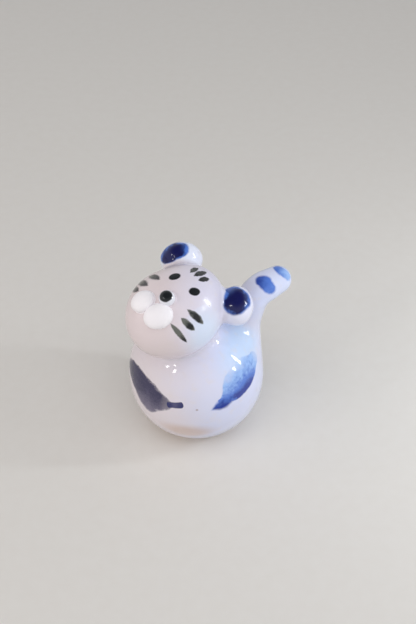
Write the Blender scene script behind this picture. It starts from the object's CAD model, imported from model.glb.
import math

import bpy
import numpy as np
from mathutils import Euler, Matrix


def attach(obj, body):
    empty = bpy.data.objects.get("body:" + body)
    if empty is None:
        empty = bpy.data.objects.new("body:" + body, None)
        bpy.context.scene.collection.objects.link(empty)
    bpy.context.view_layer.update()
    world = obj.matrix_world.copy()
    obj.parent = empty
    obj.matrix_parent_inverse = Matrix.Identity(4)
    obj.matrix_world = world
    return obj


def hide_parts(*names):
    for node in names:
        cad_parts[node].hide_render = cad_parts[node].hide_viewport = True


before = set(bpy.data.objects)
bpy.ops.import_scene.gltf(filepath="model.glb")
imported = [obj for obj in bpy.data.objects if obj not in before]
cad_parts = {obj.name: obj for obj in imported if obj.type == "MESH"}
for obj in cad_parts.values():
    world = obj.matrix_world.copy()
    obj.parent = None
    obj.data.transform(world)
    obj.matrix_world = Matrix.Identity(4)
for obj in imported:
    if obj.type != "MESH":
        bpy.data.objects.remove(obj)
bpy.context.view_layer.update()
print("frame loaded")

mm = 0.001  # forms and marks are reckoned in millimetres
upright = np.array([0, 0, 1.0])


def unit(v):
    v = np.asarray(v, float)
    return v / np.linalg.norm(v, axis=-1, keepdims=True)


def way(az, el):  # direction at degrees round from the front and degrees up
    a = math.radians(az)
    e = math.radians(el)
    return np.array([math.sin(a) * math.cos(e), -math.cos(a) * math.cos(e), math.sin(e)])


def turned(x, y, z):
    return np.array(Euler((math.radians(x), math.radians(y), math.radians(z))).to_matrix())


def square(normal, up):  # columns: level, upwards, outwards
    level = unit(np.cross(up, normal))
    return np.stack([level, np.cross(normal, level), normal], axis=1)


def spun(axes, degrees):
    return axes @ turned(0, 0, degrees)


def fuse(a, b, reach):  # joins two forms with a soft fillet
    close = np.maximum(reach - np.abs(a - b), 0) / reach
    return np.minimum(a, b) - close * close * reach / 4


def egg(p, middle, axes, semi):
    q = (p - middle) @ axes
    near = np.linalg.norm(q / semi, axis=-1)
    steep = np.linalg.norm(q / np.square(semi), axis=-1)
    return near * (near - 1) / np.maximum(steep, 1e-9)


handWaves = {"count": 6, "lengths": (9, 17), "starts": (0, 6.3)}


def waver(p, size, seed):  # slow unevenness of a form made by hand
    dice = np.random.default_rng(seed)
    total = 0
    for _ in range(handWaves["count"]):
        wave = unit(dice.normal(size=3)) * 2 * math.pi / dice.uniform(*handWaves["lengths"])
        total = total + np.sin(p @ wave + dice.uniform(*handWaves["starts"]))
    return size * total / handWaves["count"]


def swell(d, bulges):  # soft rises and dents, each (direction, height, spread in degrees)
    total = 0
    for at, height, spread in bulges:
        gap = 1 - d @ way(*at)
        total = total + height * np.exp(-gap / (1 - math.cos(math.radians(spread))))
    return total


bodyClay = {
    "middle": np.array([0, 0, 12.4]),
    "radius": 14.0,
    "footRound": 0.9,
    "bulges": [((-98, 36), 0.6, 24), ((108, 30), 0.5, 16)],
    "waver": (0.08, 3),  # height and seed
    "ventRadius": 1.25,
    "ventDepth": 3.0,
    "ventWall": [(0.97, 0.03), (0.93, 0.15), (0.92, 1.0)],  # share of the mouth, height
    "columns": 240,
    "rows": 190,
}


def bodyForm(p):
    q = p - bodyClay["middle"]
    out = np.linalg.norm(q, axis=-1)
    rise = swell(q / out[..., None], bodyClay["bulges"]) + waver(p, *bodyClay["waver"])
    return -fuse(rise + bodyClay["radius"] - out, p[..., 2], bodyClay["footRound"])


def bodySpot(az, el):  # place and outward direction on the body
    normal = way(az, el)
    return bodyClay["middle"] + bodyClay["radius"] * normal, normal


headClay = {
    "middle": np.array([-3.92, -2.26, 31.98]),
    "semi": np.array([9.0, 9.0, 10.5]),
    "axes": turned(-80, 15, -46),
    "meanRadius": 9.4,
    "dents": [((-60, 16), -0.55, 26)],
    "waver": (0.07, 7),
    "neckBlend": 2.0,
    "neckEase": 1.8,
    "neckEaseAcross": (-2, 7),
    "columns": 208,
    "rows": 150,
}
crown = headClay["axes"][:, 2]


def headForm(p):
    facing = unit((p - headClay["middle"]) @ headClay["axes"])
    rise = swell(facing, headClay["dents"]) + waver(p, *headClay["waver"])
    return egg(p, headClay["middle"], headClay["axes"], headClay["semi"]) - rise


def neckReach(p):  # the crease is tighter in front than under the near ear
    start, end = headClay["neckEaseAcross"]
    share = np.clip((p[..., 0] - start) / (end - start), 0, 1)
    return headClay["neckBlend"] + headClay["neckEase"] * share * share * (3 - 2 * share)


def headSpot(az, el, lift=0.0):  # place and outward direction on the head
    d = way(az, el)
    spot = d / np.linalg.norm(d / headClay["semi"])
    normal = unit(spot / np.square(headClay["semi"]))
    return headClay["middle"] + headClay["axes"] @ (spot + normal * lift), headClay["axes"] @ normal


earClay = {
    "left": {"at": (87, 55), "wide": 7.9, "blend": 1.9},
    "right": {"at": (-90, 48.5), "wide": 8.6, "blend": 2.0},
    "thick": 6.6,
    "sink": 1.2,
    "waver": (0.05, 11),
    "columns": 112,
    "rows": 62,
}


def earForm(side):
    ear = earClay[side]
    middle, normal = headSpot(*ear["at"], earClay["thick"] / 2 - earClay["sink"])
    axes = square(normal, crown)
    semi = np.array([ear["wide"], ear["wide"], earClay["thick"]]) / 2
    return lambda p: egg(p, middle, axes, semi) - waver(p, *earClay["waver"]), middle, normal


padClay = {
    "left": {"at": (13, -40), "wide": 5.8, "turn": 68},
    "right": {"at": (-21.5, -40), "wide": 5.2, "turn": 46},
    "shape": 0.82,
    "thick": 2.9,
    "sink": 1.3,
    "blend": 0.15,
    "waver": (0.05, 17),
    "columns": 96,
    "rows": 44,
}


def padForm(side):
    pad = padClay[side]
    middle, normal = headSpot(*pad["at"], padClay["thick"] / 2 - padClay["sink"])
    axes = spun(square(normal, crown), pad["turn"])
    semi = np.array([pad["wide"], pad["wide"] * padClay["shape"], padClay["thick"]]) / 2
    return lambda p: egg(p, middle, axes, semi) - waver(p, *padClay["waver"]), middle, normal


noseClay = {"at": (4, -19), "wide": 3.2, "sink": 1.2, "blend": 0.4, "columns": 72, "rows": 40}


def noseForm():
    middle, normal = headSpot(*noseClay["at"], noseClay["wide"] / 2 - noseClay["sink"])
    return lambda p: np.linalg.norm(p - middle, axis=-1) - noseClay["wide"] / 2, middle, normal


tailClay = {
    "at": (118, 38.5),
    "rootRadius": 3.25,
    "tipRadius": 2.85,
    "lean": 16.3,
    "rise": 8.4,
    "bend": 62,
    "bendRadius": 4.2,
    "reach": 5.6,
    "below": 9.0,  # how far the roll runs on inside the body
    "steps": (24, 24, 20),  # points up to the bend, round it and out to the tip
    "blend": 4.0,
    "waver": (0.06, 23),
    "columns": 120,
    "rows": 120,
}


def tailLine():  # points along the tail's middle, and the radius at each
    outward = way(tailClay["at"][0], 0)
    bendRadius = tailClay["bendRadius"]

    def leaning(t):
        return outward * math.sin(math.radians(t)) + upright * math.cos(math.radians(t))

    first = tailClay["lean"]
    last = first + tailClay["bend"]
    root, _ = bodySpot(*tailClay["at"])
    corner = root + tailClay["rise"] * leaning(first)
    tip = corner + tailClay["reach"] * leaning(last)
    start = corner - bendRadius * math.tan(math.radians(tailClay["bend"] / 2)) * leaning(first)
    hub = start + bendRadius * leaning(first + 90)
    below = root - tailClay["below"] * leaning(first)
    toBend, roundBend, toTip = tailClay["steps"]
    rise = [below + (start - below) * t for t in np.linspace(0, 1, toBend)]
    arc = [hub - bendRadius * leaning(90 + t) for t in np.linspace(first, last, roundBend)[1:]]
    rest = [arc[-1] + (tip - arc[-1]) * t for t in np.linspace(0, 1, toTip)[1:]]
    points = np.array(rise + arc + rest)
    bendEnd = len(rise + arc) - 1
    share = np.clip((np.arange(len(points)) - bendEnd) / len(rest), 0, 1)
    return points, tailClay["rootRadius"] + (tailClay["tipRadius"] - tailClay["rootRadius"]) * share


tailPoints, tailRadii = tailLine()


def tailForm(p):
    best = np.full(p.shape[:-1], 1e9)
    for a, b, ra, rb in zip(tailPoints, tailPoints[1:], tailRadii, tailRadii[1:]):
        t = np.clip((p - a) @ (b - a) / ((b - a) @ (b - a)), 0, 1)
        gap = np.linalg.norm(p - a - t[..., None] * (b - a), axis=-1) - ra - (rb - ra) * t
        best = np.minimum(best, gap)
    return best - waver(p, *tailClay["waver"])


tracing = {
    "nudge": 0.002,
    "firstRing": 0.06,
    "stride": 0.1,
    "mostSteps": 900,
    "aside": (0.31, 0.95, 0.11),  # no form's axis lies this way
    "farthest": 30.0,
    "halvings": 50,
}


def slope(form, p):
    out = np.empty_like(p)
    for i in range(3):
        nudge = np.zeros(3)
        nudge[i] = tracing["nudge"]
        out[:, i] = (form(p + nudge) - form(p - nudge)) / (2 * tracing["nudge"])
    return out


def settle(form, p):  # moves points onto the form's surface
    g = slope(form, p)
    return p - form(p)[:, None] * g / np.sum(g * g, axis=1, keepdims=True)


def straight(origin, down):  # a straight line to trace round
    def line(p):
        along = (p - origin) @ down
        return origin + along[:, None] * down, np.broadcast_to(down, p.shape)
    return line


def bent(points):  # a bent line to trace round, from its last point to its first
    tangents = unit(np.gradient(points, axis=0))

    def line(p):
        nearest = np.argmin(np.linalg.norm(p[:, None] - points[None], axis=2), axis=1)
        return points[nearest], -tangents[nearest]
    return line


def trace(form, line, tip, clay, finished):  # rings of points from the tip down over the form
    columns = clay["columns"]
    rows = clay["rows"]
    down = line(tip[None])[1][0]
    side = unit(np.cross(down, tracing["aside"]))
    angle = np.linspace(0, 2 * math.pi, columns, endpoint=False)[:, None]
    p = tip + tracing["firstRing"] * (np.cos(angle) * side + np.sin(angle) * np.cross(down, side))
    p = settle(form, settle(form, p))
    trail = [np.repeat(tip[None], columns, axis=0), p]
    last = np.zeros(columns, int)
    while not last.all() and len(trail) < tracing["mostSteps"]:
        middle, down = line(p)
        out = p - middle
        out = unit(out - np.sum(out * down, axis=1, keepdims=True) * down)
        onward = unit(np.cross(slope(form, p), np.cross(down, out)))
        p = settle(form, p + tracing["stride"] * onward)
        last[(last == 0) & finished(p)] = len(trail)
        trail.append(p)
    last[last == 0] = len(trail) - 1
    trail = np.array(trail)
    rings = np.empty((rows, columns, 3))
    for j in range(columns):
        run = trail[: last[j] + 1, j]
        length = np.concatenate([[0], np.cumsum(np.linalg.norm(np.diff(run, axis=0), axis=1))])
        for i in range(3):
            rings[:, j, i] = np.interp(np.linspace(0, length[-1], rows + 1)[1:], length, run[:, i])
    return rings


def tipOf(form, middle, up):  # where a form's surface crosses its axis
    low = 0.0
    high = tracing["farthest"]
    for _ in range(tracing["halvings"]):
        half = (low + high) / 2
        inside = form((middle + up * half)[None])[0] < 0
        low, high = (half, high) if inside else (low, half)
    return middle + up * low


def solid(name, tip, rings, heel, form):  # a closed mesh from a tip, rings and a heel
    rows, columns, _ = rings.shape
    points = np.concatenate([tip[None], rings.reshape(-1, 3), heel[None]])
    j = np.arange(columns)
    k = (j + 1) % columns
    faces = np.stack([0 * j, 1 + k, 1 + j], axis=1).tolist()
    for i in range(rows - 1):
        a = 1 + i * columns
        faces += np.stack([a + j, a + k, a + columns + k, a + columns + j], axis=1).tolist()
    a = 1 + (rows - 1) * columns
    faces += np.stack([a + j, a + k, 0 * j + len(points) - 1], axis=1).tolist()
    mesh = bpy.data.meshes.new(name)
    mesh.from_pydata((points * mm).tolist(), [], faces)
    mesh.shade_smooth()
    mesh.normals_split_custom_set_from_vertices(unit(slope(form, points)).tolist())
    piece = bpy.data.objects.new(name, mesh)
    bpy.context.scene.collection.objects.link(piece)
    print(name, "made")
    return piece


# how near a hem has to settle, how much of the fillet it runs past, and how it tucks in
hem = {"settled": 0.006, "past": 0.8, "tuck": 0.1, "depth": 0.8, "heel": 0.4}


def even(reach):  # a fillet of one reach all round
    return lambda p: reach


def grown(name, own, under, reach, line, tip, clay):  # a piece pressed onto the one under it
    def joined(p):
        return fuse(own(p), under(p), reach(p))

    def finished(p):
        return (under(p) < hem["settled"]) & (own(p) > hem["past"] * reach(p))

    rings = trace(joined, line, tip, clay, finished)
    inward = -unit(slope(under, rings[-1]))
    hidden = np.stack([rings[-1] + hem["tuck"] * inward, rings[-1] + hem["depth"] * inward])
    heel = hidden[-1].mean(axis=0) + hem["heel"] * inward.mean(axis=0)
    return solid(name, tip, np.concatenate([rings, hidden]), heel, joined)


def makeBody():
    middle = bodyClay["middle"]
    atFoot = 0.05

    def finished(p):
        return (p[:, 2] < atFoot) & (np.hypot(p[:, 0], p[:, 1]) < bodyClay["ventRadius"])

    tip = tipOf(bodyForm, middle, upright)
    rings = trace(bodyForm, straight(middle, -upright), tip, bodyClay, finished)
    innermost, _ = bodyClay["ventWall"][-1]
    wall = bodyClay["ventWall"] + [(innermost, bodyClay["ventDepth"])]
    inside = np.stack([rings[-1] * (s, s, 0) + (0, 0, z) for s, z in wall])
    heel = upright * bodyClay["ventDepth"]
    return solid("glazedBody", tip, np.concatenate([rings, inside]), heel, bodyForm)


def makeHead():
    up = unit(headClay["middle"] - bodyClay["middle"])
    tip = tipOf(headForm, headClay["middle"], up)
    line = straight(headClay["middle"], -up)
    return grown("glazedHead", headForm, bodyForm, neckReach, line, tip, headClay)


def makeOnHead(name, form, middle, normal, clay, blend):
    tip = tipOf(form, middle, normal)
    line = straight(middle, -normal)
    return grown(name, form, headForm, even(blend), line, tip, clay)


def makeTail():
    up = unit(tailPoints[-1] - tailPoints[-2])
    tip = tipOf(tailForm, tailPoints[-1], up)
    line = bent(tailPoints)
    return grown("glazedTail", tailForm, bodyForm, even(tailClay["blend"]), line, tip, tailClay)


class Wire:  # a shader socket that can be reckoned with
    def __init__(self, sheet, socket):
        self.sheet = sheet
        self.socket = socket

    def __add__(self, other):
        return self.sheet.maths("ADD", self, other)

    def __sub__(self, other):
        return self.sheet.maths("SUBTRACT", self, other)

    def __rsub__(self, other):
        return self.sheet.maths("SUBTRACT", other, self)

    def __mul__(self, other):
        return self.sheet.maths("MULTIPLY", self, other)

    def __truediv__(self, other):
        return self.sheet.maths("DIVIDE", self, other)

    def __rtruediv__(self, other):
        return self.sheet.maths("DIVIDE", other, self)

    def __pow__(self, other):
        return self.sheet.maths("POWER", self, other)

    def __rpow__(self, other):
        return self.sheet.maths("POWER", other, self)

    def __abs__(self):
        return self.sheet.maths("ABSOLUTE", self)

    __radd__ = __add__
    __rmul__ = __mul__


def bendCurve(mapping, stops):  # a curve through (place, height) stops
    points = mapping.curves[0].points
    points[0].location = stops[0]
    points[1].location = stops[-1]
    for stop in stops[1:-1]:
        points.new(*stop)
    mapping.update()


nearSide = (1.0, 0.9)  # where a mark fades out, in shares of its depth
glassIor = 1.5


class Sheet:  # a node tree
    def __init__(self, tree):
        self.tree = tree
        self.tree.nodes.clear()

    def add(self, kind, settings=None, values=None, out=0):
        node = self.tree.nodes.new(kind)
        for key, value in (settings or {}).items():
            if key == "stops":
                bendCurve(node.mapping, value)
            else:
                setattr(node, key, value)
        for key, value in (values or {}).items():
            if isinstance(value, Wire):
                self.tree.links.new(value.socket, node.inputs[key])
            else:
                node.inputs[key].default_value = value
        return Wire(self, node.outputs[out]) if node.outputs else None

    def beside(self, wire, out):  # another output of the same node
        return Wire(self, wire.socket.node.outputs[out])

    def maths(self, kind, *values):
        return self.add("ShaderNodeMath", {"operation": kind}, dict(enumerate(values)))

    def vector(self, kind, values, out=0):
        return self.add("ShaderNodeVectorMath", {"operation": kind}, values, out)

    def larger(self, a, b):
        return self.maths("MAXIMUM", a, b)

    def ramp(self, value, start, end, low=0.0, high=1.0):
        values = {0: value, 1: start, 2: end, 3: low, 4: high}
        return self.add("ShaderNodeMapRange", {"interpolation_type": "SMOOTHSTEP"}, values)

    def mix(self, share, a, b):
        return self.add("ShaderNodeMix", {"data_type": "RGBA"}, {0: share, 6: a, 7: b}, out=2)

    def noise(self, point, scale, detail=2.0, rough=0.5):
        return self.add("ShaderNodeTexNoise", {}, {0: point, 2: scale, 3: detail, 4: rough})

    def split(self, vector):
        x = self.add("ShaderNodeSeparateXYZ", {}, {0: vector})
        return x, self.beside(x, 1), self.beside(x, 2)

    def measure(self):  # the surface point in millimetres
        spot = self.add("ShaderNodeTexCoord", out=3)
        self.point = self.vector("SCALE", {0: spot, 3: 1 / mm})

    def unsteady(self, size, scale):  # the point, shaken a little, for edges drawn by hand
        shake = self.beside(self.noise(self.point, scale, 2.0), 1)
        centred = self.vector("SUBTRACT", {0: shake, 1: (0.5, 0.5, 0.5)})
        return self.vector("ADD", {0: self.point, 1: self.vector("SCALE", {0: centred, 3: size})})

    def local(self, point, spot, axes, half):  # the point in a mark's own measure
        turn = Matrix(axes.tolist()).to_euler()
        values = {0: point, 1: tuple(spot), 2: tuple(turn), 3: tuple(half)}
        return self.split(self.add("ShaderNodeMapping", {"vector_type": "TEXTURE"}, values))

    def within(self, edge, soft, z):  # a mask inside an edge, on the near side of the form alone
        return self.ramp(edge, soft, -soft) * self.ramp(abs(z), *nearSide)

    def finish(self, colour, rough, normal):
        values = {"Base Color": colour, "Roughness": rough, "Normal": normal, "IOR": glassIor}
        shader = self.add("ShaderNodeBsdfPrincipled", {}, values)
        self.add("ShaderNodeOutputMaterial", {}, {0: shader})


def newSheet(name):
    material = bpy.data.materials.new(name)
    material.use_nodes = True
    sheet = Sheet(material.node_tree)
    sheet.measure()
    return material, sheet


def tone(red, green, blue):  # a screen colour, 0 to 255, as the renderer takes it
    share = [c / 255 for c in (red, green, blue)]
    return tuple(c / 12.92 if c < 0.04045 else ((c + 0.055) / 1.055) ** 2.4 for c in share) + (1.0,)


markDepth = {"head": 2.0, "body": 3.0, "ear": 4.0, "tail": 2.6, "flank": 8.0}


def stroke(az, el, slant, length, width):  # a brush mark on the head: place, axes and half sizes
    spot, normal = headSpot(az, el)
    axes = spun(square(normal, crown), slant)
    return spot, axes, (length / 2, width / 2, markDepth["head"])


def between(spotAt, a, b, width, depth):  # the same, from one end to the other
    start, _ = spotAt(*a)
    end, _ = spotAt(*b)
    spot, normal = spotAt((a[0] + b[0]) / 2, (a[1] + b[1]) / 2)
    across = unit(np.cross(normal, end - start))
    axes = np.stack([np.cross(across, normal), across, normal], axis=1)
    return spot, axes, (np.linalg.norm(end - start) / 2, width / 2, depth)


def leaf(sheet, point, mark, soft, blunt=2.0):
    x, y, z = sheet.local(point, *mark)
    edge = abs(y) - (1 - abs(x) ** blunt)
    return sheet.within(edge, soft, z), x, y


def oval(sheet, point, mark, soft):
    x, y, z = sheet.local(point, *mark)
    return sheet.within((x * x + y * y) ** 0.5 - 1, soft, z)


def blot(sheet, point, spot, axes, outline, depth, soft):  # a patch with its own outline
    size = max(radius for _, radius in outline)
    x, y, z = sheet.local(point, spot, axes, (size, size, depth))
    angle = sheet.maths("ARCTAN2", y, x) / (2 * math.pi) + 0.5
    stops = [(degrees / 360, radius / size) for degrees, radius in outline]
    stops.append((1.0, stops[0][1]))
    reach = sheet.add("ShaderNodeFloatCurve", {"stops": stops}, {0: 1.0, 1: angle})
    edge = ((x * x + y * y) ** 0.5 - reach) * size
    return sheet.within(edge, soft, z), x, y, edge


glaze = {  # left and right looks, and where across the part one passes into the other
    "body": {"left": tone(230, 221, 226), "right": tone(220, 224, 248), "across": (-9, 7), "rough": 0.07},
    "head": {"left": tone(231, 218, 220), "right": tone(225, 222, 240), "across": (-8, 5), "rough": 0.2},
    "ear": {"left": tone(232, 243, 255), "right": tone(236, 237, 255), "across": (-9, 7), "rough": 0.07},
    "nose": {"left": tone(236, 236, 244), "right": tone(238, 240, 250), "across": (-9, 7), "rough": 0.05},
    "tail": {"left": tone(216, 212, 224), "right": tone(219, 226, 252), "across": (7, 17), "rough": 0.07},
    "slow": (0.09, 2.0),  # scale and detail of the unevenness
    "fine": (0.55, 3.0),
    "drift": 9,  # how far the passing wanders
    "warm": tone(230, 220, 218),
    "warmWhere": (0.5, 0.8),
    "warmShare": 0.3,
    "roughVaries": 0.04,
    "ripples": [(0.7, 2.0, 0.7), (2.6, 1.0, 0.2)],  # scale, detail, height
    "rippleStrength": 0.35,
    "peel": 0.04,  # height of the ripples
}
layerStarts = {  # what a layer lies on, and how far out of it the layer begins and is whole
    "head": ("body", 0.2, 2.6),
    "ear": ("head", 0, 1.6),
    "nose": ("head", 0, 0.8),
    "tail": ("body", 0.2, 2.6),
}
carriers = {
    "body": (bodyClay["middle"], bodyClay["radius"]),
    "head": (headClay["middle"], headClay["meanRadius"]),
}
tints = [  # pools and stains in the body's glaze: place, half sizes, colour, strength
    ((79, 48), (7.0, 4.0, 4.0), tone(202, 226, 255), 0.8),
    ((-8, -16), (4.6, 2.2, 3.0), tone(202, 170, 142), 0.55),
    ((0.9, 12.9), (0.24, 0.2, 2.0), tone(150, 118, 104), 0.6),
]
tintSoft = 0.55


def glazeBase(sheet, *layers):  # colour and roughness, the piece beneath first, so that hems match it
    slow = sheet.noise(sheet.point, *glaze["slow"])
    fine = sheet.noise(sheet.point, *glaze["fine"])
    x, _, _ = sheet.split(sheet.point)

    def ownColour(look):
        drift = sheet.ramp(x + glaze["drift"] * (slow - 0.5), *look["across"])
        return sheet.mix(drift, look["left"], look["right"])

    colour = ownColour(glaze["body"])
    rough = glaze["body"]["rough"]
    for at, half, tint, strength in tints:
        spot, normal = bodySpot(*at)
        pool = oval(sheet, sheet.point, (spot, square(normal, upright), half), tintSoft)
        colour = sheet.mix(pool * strength, colour, tint)
    for layer in layers:
        carrier, low, high = layerStarts[layer]
        middle, radius = carriers[carrier]
        span = sheet.vector("DISTANCE", {0: sheet.point, 1: middle}, out=1)
        share = sheet.ramp(span - radius, low, high)
        colour = sheet.mix(share, colour, ownColour(glaze[layer]))
        rough = rough + share * (glaze[layer]["rough"] - rough)
    warm = sheet.ramp(fine, *glaze["warmWhere"]) * glaze["warmShare"]
    colour = sheet.mix(warm, colour, glaze["warm"])
    return colour, rough + glaze["roughVaries"] * (fine - 0.5)


def glazeNormal(sheet):
    broad, fine = [sheet.noise(sheet.point, *ripple) * height for *ripple, height in glaze["ripples"]]
    values = {"Strength": glaze["rippleStrength"], "Distance": glaze["peel"] * mm, "Height": broad + fine}
    return sheet.add("ShaderNodeBump", {}, values)


cobalt = {
    "thick": tone(14, 17, 80),
    "deep": tone(20, 50, 148),
    "mid": tone(80, 122, 210),
    "pale": tone(160, 196, 248),
    "midOver": (0.0, 0.5),  # depths over which one shade passes into the next
    "lastOver": (0.45, 1.0),
}
ink = {"dark": tone(24, 27, 30), "thin": tone(112, 114, 108)}


def cobaltColour(sheet, depth, last):
    low = sheet.mix(sheet.ramp(depth, *cobalt["midOver"]), cobalt["pale"], cobalt["mid"])
    return sheet.mix(sheet.ramp(depth, *cobalt["lastOver"]), low, cobalt[last])


def inked(sheet, colour, mask, thin):
    return sheet.mix(mask, colour, sheet.mix(thin, ink["dark"], ink["thin"]))


# outlines hold (degrees, radius): 0 is to the left, 90 down, 180 to the right, 270 up
flankLeft = {
    "at": (43.2, 26.7),
    "slant": 15,
    "outline": [
        (0, 5.6), (15, 5.9), (30, 4.2), (45, 3.7), (60, 3.3), (90, 3.05), (120, 3.5), (150, 4.8),
        (165, 6.0), (180, 8.0), (195, 6.3), (210, 5.3), (225, 4.6), (240, 3.9), (255, 3.5), (270, 3.4),
        (300, 3.45), (330, 3.7), (345, 4.0),
    ],
    "soft": 0.2,
    "tip": ((37, 18.6), (13.2, 12.2), 2.3),
    "tipSoft": 0.4,
    "uneven": 0.35,
    "washUp": (0.34, -0.2),  # ramps over the patch's own height and length
    "washAlong": (1.0, 0.2),
    "washDepth": (0.05, 0.37),
    "keelUp": (-0.06, -0.34),
    "keelAlong": (0.8, 0.25),
    "keelDepth": 0.75,
    "tipDepth": 0.36,
    "gapAt": -0.42,
    "gapWide": (0.16, 0.03),
    "gapLoss": 0.6,
    "mottle": 0.4,
    "streaks": 0.55,
    "faintUp": (0.5, 0.16, 0.15, 0.96),
    "faintAlong": (1.0, 0.75, 0.4, 1.0),
}


def paintLeftFlank(sheet, colour, shaken, wash, streak):
    look = flankLeft
    spot, normal = bodySpot(*look["at"])
    axes = spun(square(normal, upright), look["slant"])
    mask, x, y, _ = blot(sheet, shaken, spot, axes, look["outline"], markDepth["flank"], look["soft"])
    tip, _, _ = leaf(sheet, shaken, between(bodySpot, *look["tip"], markDepth["body"]), look["tipSoft"])
    ends = look["uneven"] * (wash - 0.5)
    keel = sheet.ramp(y + ends, *look["keelUp"]) * sheet.ramp(x + ends, *look["keelAlong"])
    gap = sheet.ramp(abs(x - look["gapAt"] + ends), *look["gapWide"])
    least, more = look["washDepth"]
    depth = least + more * sheet.ramp(y + ends, *look["washUp"]) * sheet.ramp(x, *look["washAlong"])
    dark = look["keelDepth"] * keel + look["tipDepth"] * tip
    depth = depth + dark * (1 - look["gapLoss"] * gap)
    depth = depth + look["mottle"] * (wash - 0.5) + look["streaks"] * (streak - 0.5)
    faint = sheet.ramp(y + 2 * ends, *look["faintUp"]) * sheet.ramp(x, *look["faintAlong"])
    return sheet.mix(sheet.larger(mask * faint, tip), colour, cobaltColour(sheet, depth, "deep"))


flankRight = {
    "at": (-43, 14.4),
    "outline": [
        (0, 10.8), (15, 6.15), (30, 4.9), (45, 4.6), (60, 4.45), (75, 4.55), (90, 4.5), (120, 3.8),
        (135, 3.75), (150, 4.1), (165, 4.7), (180, 5.2), (195, 4.5), (210, 3.5), (225, 3.0), (240, 2.8),
        (270, 2.9), (285, 3.15), (300, 3.75), (315, 4.85), (330, 6.8), (345, 9.4),
    ],
    "soft": 0.2,
    "stub": ((-25.5, 13.4), (-10.4, 16.9), 1.35),
    "stubSoft": 0.15,
    "stubBlunt": 12.0,
    "stubTint": tone(44, 48, 104),
    "stubWash": (0.2, 0.6, 0.9, 1.0),
    "dark": tone(60, 57, 88),
    "thin": tone(116, 110, 134),
    "hairs": (2.5, 16),  # brush marks along and across the stroke
    "hairDetail": 3.0,
    "grain": (3.4, 3.0, 0.7),
    "wornUp": (0.1, -0.4),
    "wornWanders": (0.5, 0.4),  # with the hairs and with the wash
    "wornHairs": 0.8,
    "wornGrain": 0.9,
    "dryEdge": (-0.7, 0.3, 1.0, 0.45),
    "dryGrain": 1.6,
    "dryHairs": 1.2,
    "paleAlong": (0.22, 0.36, 1.0, 0.82),
    "paleWanders": 0.3,
}


def paintRightFlank(sheet, colour, shaken, wash):
    look = flankRight
    spot, normal = bodySpot(*look["at"])
    axes = square(normal, upright)
    mask, x, y, edge = blot(sheet, shaken, spot, axes, look["outline"], markDepth["flank"], look["soft"])
    along, across = look["hairs"]
    combed = sheet.add("ShaderNodeCombineXYZ", {}, {0: x * along, 1: y * across})
    hairs = sheet.noise(combed, 1.0, look["hairDetail"]) - 0.5
    grain = sheet.noise(shaken, *look["grain"]) - 0.5
    withHairs, withWash = look["wornWanders"]
    worn = sheet.ramp(y + withHairs * hairs + withWash * (wash - 0.5), *look["wornUp"])
    worn = worn + look["wornHairs"] * hairs + look["wornGrain"] * grain
    dusk = sheet.mix(worn, look["dark"], look["thin"])
    dry = sheet.ramp(edge + look["dryGrain"] * grain + look["dryHairs"] * hairs, *look["dryEdge"])
    pale = sheet.ramp(x + look["paleWanders"] * (wash - 0.5), *look["paleAlong"])
    colour = sheet.mix(mask * dry * pale, colour, dusk)
    mark = between(bodySpot, *look["stub"], markDepth["body"])
    stub, _, _ = leaf(sheet, shaken, mark, look["stubSoft"], look["stubBlunt"])
    return sheet.mix(stub * sheet.ramp(wash, *look["stubWash"]), colour, look["stubTint"])


footRim = {
    "thinUpTo": (3.4, 0.6),
    "thinWanders": 3.4,
    "thinShare": 0.6,
    "thinTint": tone(206, 178, 152),
    "bareUpTo": (0.42, 0.3),
    "bareWanders": 0.3,
    "bareTints": (tone(196, 180, 160), tone(216, 202, 184)),
    "bareGrain": (3.0, 3.0),
    "bareRough": 0.6,
}


def paintFoot(sheet, colour, rough, wash, streak):  # thin glaze low down, and bare clay at the rim
    _, _, height = sheet.split(sheet.point)
    thin = sheet.ramp(height + footRim["thinWanders"] * (wash - 0.5), *footRim["thinUpTo"])
    colour = sheet.mix(thin * footRim["thinShare"], colour, footRim["thinTint"])
    bare = sheet.ramp(height + footRim["bareWanders"] * (streak - 0.5), *footRim["bareUpTo"])
    clay = sheet.mix(sheet.noise(sheet.point, *footRim["bareGrain"]), *footRim["bareTints"])
    return sheet.mix(bare, colour, clay), rough + bare * footRim["bareRough"]


# a shake holds its size and scale, a wash or streak its scale and detail
bodyBrush = {"shake": (0.45, 0.8), "wash": (0.35, 3.0), "streak": (1.4, 2.0)}


def bodyLook():
    material, sheet = newSheet("bodyGlaze")
    colour, rough = glazeBase(sheet)
    shaken = sheet.unsteady(*bodyBrush["shake"])
    wash = sheet.noise(shaken, *bodyBrush["wash"])
    streak = sheet.noise(shaken, *bodyBrush["streak"])
    colour = paintLeftFlank(sheet, colour, shaken, wash, streak)
    colour = paintRightFlank(sheet, colour, shaken, wash)
    colour, rough = paintFoot(sheet, colour, rough, wash, streak)
    sheet.finish(colour, rough, glazeNormal(sheet))
    return material


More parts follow.
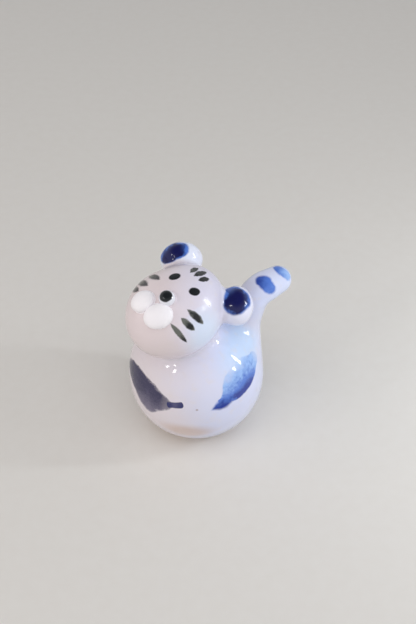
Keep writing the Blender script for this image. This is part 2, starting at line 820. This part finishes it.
headMarks = {  # eyes, brows, speck and pool: round, up, slant, length, width
    "shake": (0.35, 1.3),
    "eyeShake": (0.16, 1.0),
    "wash": (0.9, 2.0),
    "eyes": [(17.4, 13.6, 58, 2.3, 1.65), (-14.7, 8.9, 78, 2.4, 1.75)],
    "eyeSoft": 0.12,
    "eyeThin": (0.55, 0.85),  # where the wash thins the ink
    "brows": [(-1, 41, 90, 4.0, 1.25), (-11.5, 38, 105, 3.1, 1.15), (10.5, 37.5, 75, 3.1, 1.15)],
    "browBrush": (0.22, 2.4),  # softness and bluntness
    "browThin": (0.5, 0.8),
    "nearCheek": [  # from, to, width, where it is darkest along its half length, how far it fades
        ((29.5, -7.9), (57.5, 0.9), 1.35, 0.0, 0.75),
        ((33.5, -20.5), (58.5, -13), 1.25, 0.3, 0.8),
        ((32.5, -34.6), (70, -27.6), 1.05, 0.85, 0.85),
    ],
    "nearBrush": (0.25, 2.6),
    "nearThin": (0.3, 1.0),
    "nearThinBy": (0.4, 1.2),  # across the stroke and with the wash
    "farCheek": [
        ((-25, -6.6), (-53.5, -5.6), 1.4),
        ((-33, -21.6), (-68, -17), 1.45),
        ((-44, -32.2), (-75, -25.4), 1.3),
    ],
    "farBrush": (0.35, 2.6),
    "farThin": (-0.6, 0.9),
    "farThinBy": 2.2,
    "farShare": 0.95,
    "farFades": 0.9,
    "thinShare": 0.4,
    "speck": {"at": (43.3, 20.4, 0, 0.45, 0.4), "soft": 0.4, "tint": tone(140, 112, 104), "share": 0.6},
    "pool": {"at": (73, 0, 0, 9.0, 7.0), "soft": 0.7, "tint": tone(220, 234, 255), "share": 0.85},
}


def headLook():
    material, sheet = newSheet("headGlaze")
    colour, rough = glazeBase(sheet, "head")
    shaken = sheet.unsteady(*headMarks["shake"])
    steadier = sheet.unsteady(*headMarks["eyeShake"])
    wash = sheet.noise(shaken, *headMarks["wash"])

    def stained(colour, stain, point):
        mask = oval(sheet, point, stroke(*stain["at"]), stain["soft"])
        return sheet.mix(mask * stain["share"], colour, stain["tint"])

    colour = stained(colour, headMarks["pool"], sheet.point)
    across, washed = headMarks["nearThinBy"]
    for a, b, width, dark, faded in headMarks["nearCheek"]:
        mark = between(headSpot, a, b, width, markDepth["head"])
        mask, x, y = leaf(sheet, shaken, mark, *headMarks["nearBrush"])
        spread = abs(x - dark) + across * abs(y) + washed * (wash - 0.5)
        colour = inked(sheet, colour, mask, sheet.ramp(spread, *headMarks["nearThin"]) * faded)
    for a, b, width in headMarks["farCheek"]:
        mark = between(headSpot, a, b, width, markDepth["head"])
        mask, x, _ = leaf(sheet, shaken, mark, *headMarks["farBrush"])
        spread = x + headMarks["farThinBy"] * (wash - 0.5)
        thin = sheet.ramp(spread, *headMarks["farThin"]) * headMarks["farFades"]
        colour = inked(sheet, colour, mask * headMarks["farShare"], thin)
    for mark in headMarks["brows"]:
        mask, _, _ = leaf(sheet, shaken, stroke(*mark), *headMarks["browBrush"])
        thin = sheet.ramp(wash, *headMarks["browThin"]) * headMarks["thinShare"]
        colour = inked(sheet, colour, mask, thin)
    for mark in headMarks["eyes"]:
        mask = oval(sheet, steadier, stroke(*mark), headMarks["eyeSoft"])
        thin = sheet.ramp(wash, *headMarks["eyeThin"]) * headMarks["thinShare"]
        colour = inked(sheet, colour, mask, thin)
    colour = stained(colour, headMarks["speck"], shaken)
    sheet.finish(colour, rough, glazeNormal(sheet))
    return material


earPatch = {  # pale places: level share, upward share, where the loss starts and is whole, loss
    "left": {
        "facing": (10.2, -15.2),
        "pale": [(-1, 0, 0.25, 0.95, 0.32), (0.4, 0.9, 0.3, 0.9, 0.3), (0.95, 0.25, 0.5, 0.85, 0.35)],
        "outline": [
            (0, 3.15), (22, 2.7), (45, 2.5), (68, 2.7), (112, 2.6), (158, 2.5), (180, 2.35), (202, 2.45),
            (225, 2.75), (270, 2.95), (292, 3.0), (315, 3.3), (338, 3.65),
        ],
    },
    "right": {
        "facing": (-2.7, -29),
        "pale": [(-1, 0, 0.25, 0.95, 0.32), (0.4, 0.9, 0.3, 0.9, 0.3)],
        "outline": [
            (0, 2.8), (22, 3.1), (45, 3.5), (68, 3.0), (90, 2.15), (112, 1.6), (135, 1.3), (158, 1.15),
            (180, 1.25), (202, 1.7), (225, 2.4), (248, 3.0), (270, 3.2), (292, 2.9), (315, 2.8), (338, 2.7),
        ],
    },
    "shake": (0.28, 1.1),
    "wash": (0.6, 3.0),
    "soft": 0.25,
    "depth": (0.4, -0.8, 0.6, 1.0),
    "mottle": 3.5,
}


def earLook(side):
    material, sheet = newSheet(side + "EarGlaze")
    colour, rough = glazeBase(sheet, "head", "ear")
    shaken = sheet.unsteady(*earPatch["shake"])
    wash = sheet.noise(shaken, *earPatch["wash"])
    look = earPatch[side]
    form, middle, _ = earForm(side)
    normal = headClay["axes"] @ way(*look["facing"])
    spot = tipOf(form, middle, normal)
    axes = square(normal, crown)
    mask, x, y, edge = blot(sheet, shaken, spot, axes, look["outline"], markDepth["ear"], earPatch["soft"])
    depth = sheet.ramp(edge + earPatch["mottle"] * (wash - 0.5), *earPatch["depth"])
    for level, upward, start, end, loss in look["pale"]:
        depth = depth - loss * sheet.ramp(level * x + upward * y, start, end)
    colour = sheet.mix(mask, colour, cobaltColour(sheet, depth, "thick"))
    sheet.finish(colour, rough, glazeNormal(sheet))
    return material


tailMarks = {
    "spots": [
        {
            "near": (14.05, 5.25, 32.14),
            "outline": [
                (0, 1.55), (22, 1.35), (45, 1.25), (68, 1.45), (90, 1.7), (112, 2.1), (135, 2.3), (158, 2.15),
                (180, 1.6), (202, 1.45), (225, 1.65), (270, 1.9), (292, 2.05), (315, 2.3), (338, 2.1),
            ],
            "depth": (0.78, 0.42),  # at the left and the right
        },
        {
            "near": (17.17, 8.1, 33.01),
            "outline": [
                (0, 0.85), (22, 0.8), (45, 0.8), (68, 1.05), (90, 1.5), (112, 2.2), (135, 2.3), (158, 1.95),
                (180, 1.6), (202, 1.5), (225, 1.5), (248, 1.8), (270, 1.95), (292, 1.65), (315, 1.15),
                (338, 0.9),
            ],
            "depth": (0.58, 0.12),
        },
    ],
    "shake": (0.3, 1.1),
    "wash": (0.7, 3.0),
    "soft": 0.3,
    "across": (-0.8, 0.8),
    "slant": 0.5,
    "mottle": 0.5,
    "share": 0.98,
}


def tailLook():
    material, sheet = newSheet("tailGlaze")
    colour, rough = glazeBase(sheet, "tail")
    shaken = sheet.unsteady(*tailMarks["shake"])
    wash = sheet.noise(shaken, *tailMarks["wash"])
    for mark in tailMarks["spots"]:
        spot = np.array(mark["near"])
        axes = square(unit(slope(tailForm, spot[None]))[0], upright)
        mask, x, y, _ = blot(sheet, shaken, spot, axes, mark["outline"], markDepth["tail"], tailMarks["soft"])
        depth = sheet.ramp(x - tailMarks["slant"] * y, *tailMarks["across"], *mark["depth"])
        depth = depth + tailMarks["mottle"] * (wash - 0.5)
        colour = sheet.mix(mask * tailMarks["share"], colour, cobaltColour(sheet, depth, "deep"))
    sheet.finish(colour, rough, glazeNormal(sheet))
    return material


noseCap = {"facing": (-0.16, -0.4, 0.9), "radius": 1.22, "depth": 1.0, "soft": 0.08, "shake": (0.2, 1.5)}


def noseLook():
    material, sheet = newSheet("noseGlaze")
    colour, rough = glazeBase(sheet, "head", "nose")
    form, middle, _ = noseForm()
    facing = unit(noseCap["facing"])
    spot = tipOf(form, middle, facing)
    half = (noseCap["radius"], noseCap["radius"], noseCap["depth"])
    shaken = sheet.unsteady(*noseCap["shake"])
    mask = oval(sheet, shaken, (spot, square(facing, crown), half), noseCap["soft"])
    sheet.finish(sheet.mix(mask, colour, ink["dark"]), rough, glazeNormal(sheet))
    return material


padSlip = {
    "tints": (tone(252, 248, 253), tone(255, 252, 255)),
    "grain": (0.9, 3.0),
    "rough": 0.5,
    "roughVaries": 0.15,
}


def padLook():
    material, sheet = newSheet("raisedSlip")
    fine = sheet.noise(sheet.point, *padSlip["grain"])
    rough = padSlip["rough"] + padSlip["roughVaries"] * (fine - 0.5)
    sheet.finish(sheet.mix(fine, *padSlip["tints"]), rough, glazeNormal(sheet))
    return material


def dress(piece, material, slotName, *nodes):
    piece.data.materials.append(material)
    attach(piece, "root")
    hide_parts(*nodes)


dress(makeBody(), bodyLook(), "white_glaze", "body", "flank_patch_left", "flank_patch_right")
dress(makeHead(), headLook(), "white_glaze", "head", "neck_slip", "eye_left", "eye_right", "brow_stripes",
      "cheek_stripes_left", "cheek_stripes_right")
for side in ("left", "right"):
    ear = makeOnHead(side + "Ear", *earForm(side), earClay, earClay[side]["blend"])
    dress(ear, earLook(side), "white_glaze", "ear_" + side, "ear_slip_" + side, "ear_patch_" + side)
slipLook = padLook()
for side in ("left", "right"):
    pad = makeOnHead(side + "MuzzlePad", *padForm(side), padClay, padClay["blend"])
    dress(pad, slipLook, "raised_slip", "muzzle_pad_" + side)
nose = makeOnHead("cappedNose", *noseForm(), noseClay, noseClay["blend"])
dress(nose, noseLook(), "white_glaze", "nose", "nose_cap")
dress(makeTail(), tailLook(), "white_glaze", "tail", "tail_slip", "tail_bands")
print("looks done")

camera = {"place": (2.41, -163.22, 181.66), "tilt": 47.0, "lens": 64.6, "sensor": 36.0, "clipStart": 0.01}
lens = bpy.data.cameras.new("camera")
lens.lens = camera["lens"]
lens.sensor_width = camera["sensor"]
lens.clip_start = camera["clipStart"]
eye = bpy.data.objects.new("camera", lens)
eye.location = [c * mm for c in camera["place"]]
eye.rotation_euler = (math.radians(camera["tilt"]), 0, 0)
bpy.context.scene.collection.objects.link(eye)
bpy.context.scene.camera = eye

paper = {
    "half": 2.0,  # metres
    "tints": (tone(226, 222, 216), tone(230, 227, 222)),
    "grain": (0.4, 3.0),
    "rough": 0.7,
    "roughVaries": 0.05,
}
floorMesh = bpy.data.meshes.new("floor")
corners = [(x * paper["half"], y * paper["half"], 0) for x, y in ((-1, -1), (1, -1), (1, 1), (-1, 1))]
floorMesh.from_pydata(corners, [], [(0, 1, 2, 3)])
floor = bpy.data.objects.new("floor", floorMesh)
bpy.context.scene.collection.objects.link(floor)
floorPaper, floorSheet = newSheet("floorPaper")
floorGrain = floorSheet.noise(floorSheet.point, *paper["grain"])
floorRough = paper["rough"] + paper["roughVaries"] * floorGrain
floorSheet.finish(floorSheet.mix(floorGrain, *paper["tints"]), floorRough, glazeNormal(floorSheet))
floorMesh.materials.append(floorPaper)

lampAim = 0.02  # metres above the floor
lamps = {  # the broad ones light the glaze without being mirrored in it
    "above": {
        "from": (10, 66), "away": 0.6, "size": (0.6, 0.6), "watts": 1.5,
        "colour": (1.0, 0.99, 1.0), "mirrored": False,
    },
    "fill": {
        "from": (-75, 25), "away": 0.6, "size": (0.5, 0.5), "watts": 0.5,
        "colour": (1.0, 0.8, 0.65), "mirrored": False,
    },
    "window": {
        "from": (87, 21.5), "away": 0.13, "size": (0.008, 0.044), "watts": 0.04, "colour": (0.9, 0.95, 1.0),
    },
    "leftA": {
        "from": (-64, 34), "away": 0.35, "size": (0.024, 0.04), "watts": 0.05, "colour": (0.95, 0.97, 1.0),
    },
    "leftB": {
        "from": (-46, 35), "away": 0.35, "size": (0.024, 0.04), "watts": 0.05, "colour": (1.0, 0.97, 0.9),
    },
    "right": {
        "from": (74, 17), "away": 0.35, "size": (0.022, 0.03), "watts": 0.06, "colour": (1.0, 1.0, 1.0),
    },
}
for name, lamp in lamps.items():
    light = bpy.data.lights.new(name, "AREA")
    light.shape = "RECTANGLE"
    light.size, light.size_y = lamp["size"]
    light.energy = lamp["watts"]
    light.color = lamp["colour"]
    hung = bpy.data.objects.new(name, light)
    toward = way(*lamp["from"])
    hung.location = toward * lamp["away"] + upright * lampAim
    hung.rotation_euler = Matrix(square(toward, upright).tolist()).to_euler()
    hung.visible_glossy = lamp.get("mirrored", True)
    bpy.context.scene.collection.objects.link(hung)

sky = {"side": (0.66, 0.67, 0.69, 1.0), "top": (0.16, 0.17, 0.18, 1.0), "from": 0.35, "to": 0.85}
world = bpy.data.worlds.new("studio")
bpy.context.scene.world = world
world.use_nodes = True
skySheet = Sheet(world.node_tree)
_, _, skyUp = skySheet.split(skySheet.add("ShaderNodeTexCoord"))
skyColour = skySheet.mix(skySheet.ramp(skyUp, sky["from"], sky["to"]), sky["side"], sky["top"])
skyShade = skySheet.add("ShaderNodeBackground", {}, {0: skyColour, 1: 1.0})
skySheet.add("ShaderNodeOutputWorld", {}, {0: skyShade})
bpy.context.scene.view_settings.view_transform = "Standard"
print("stage set")
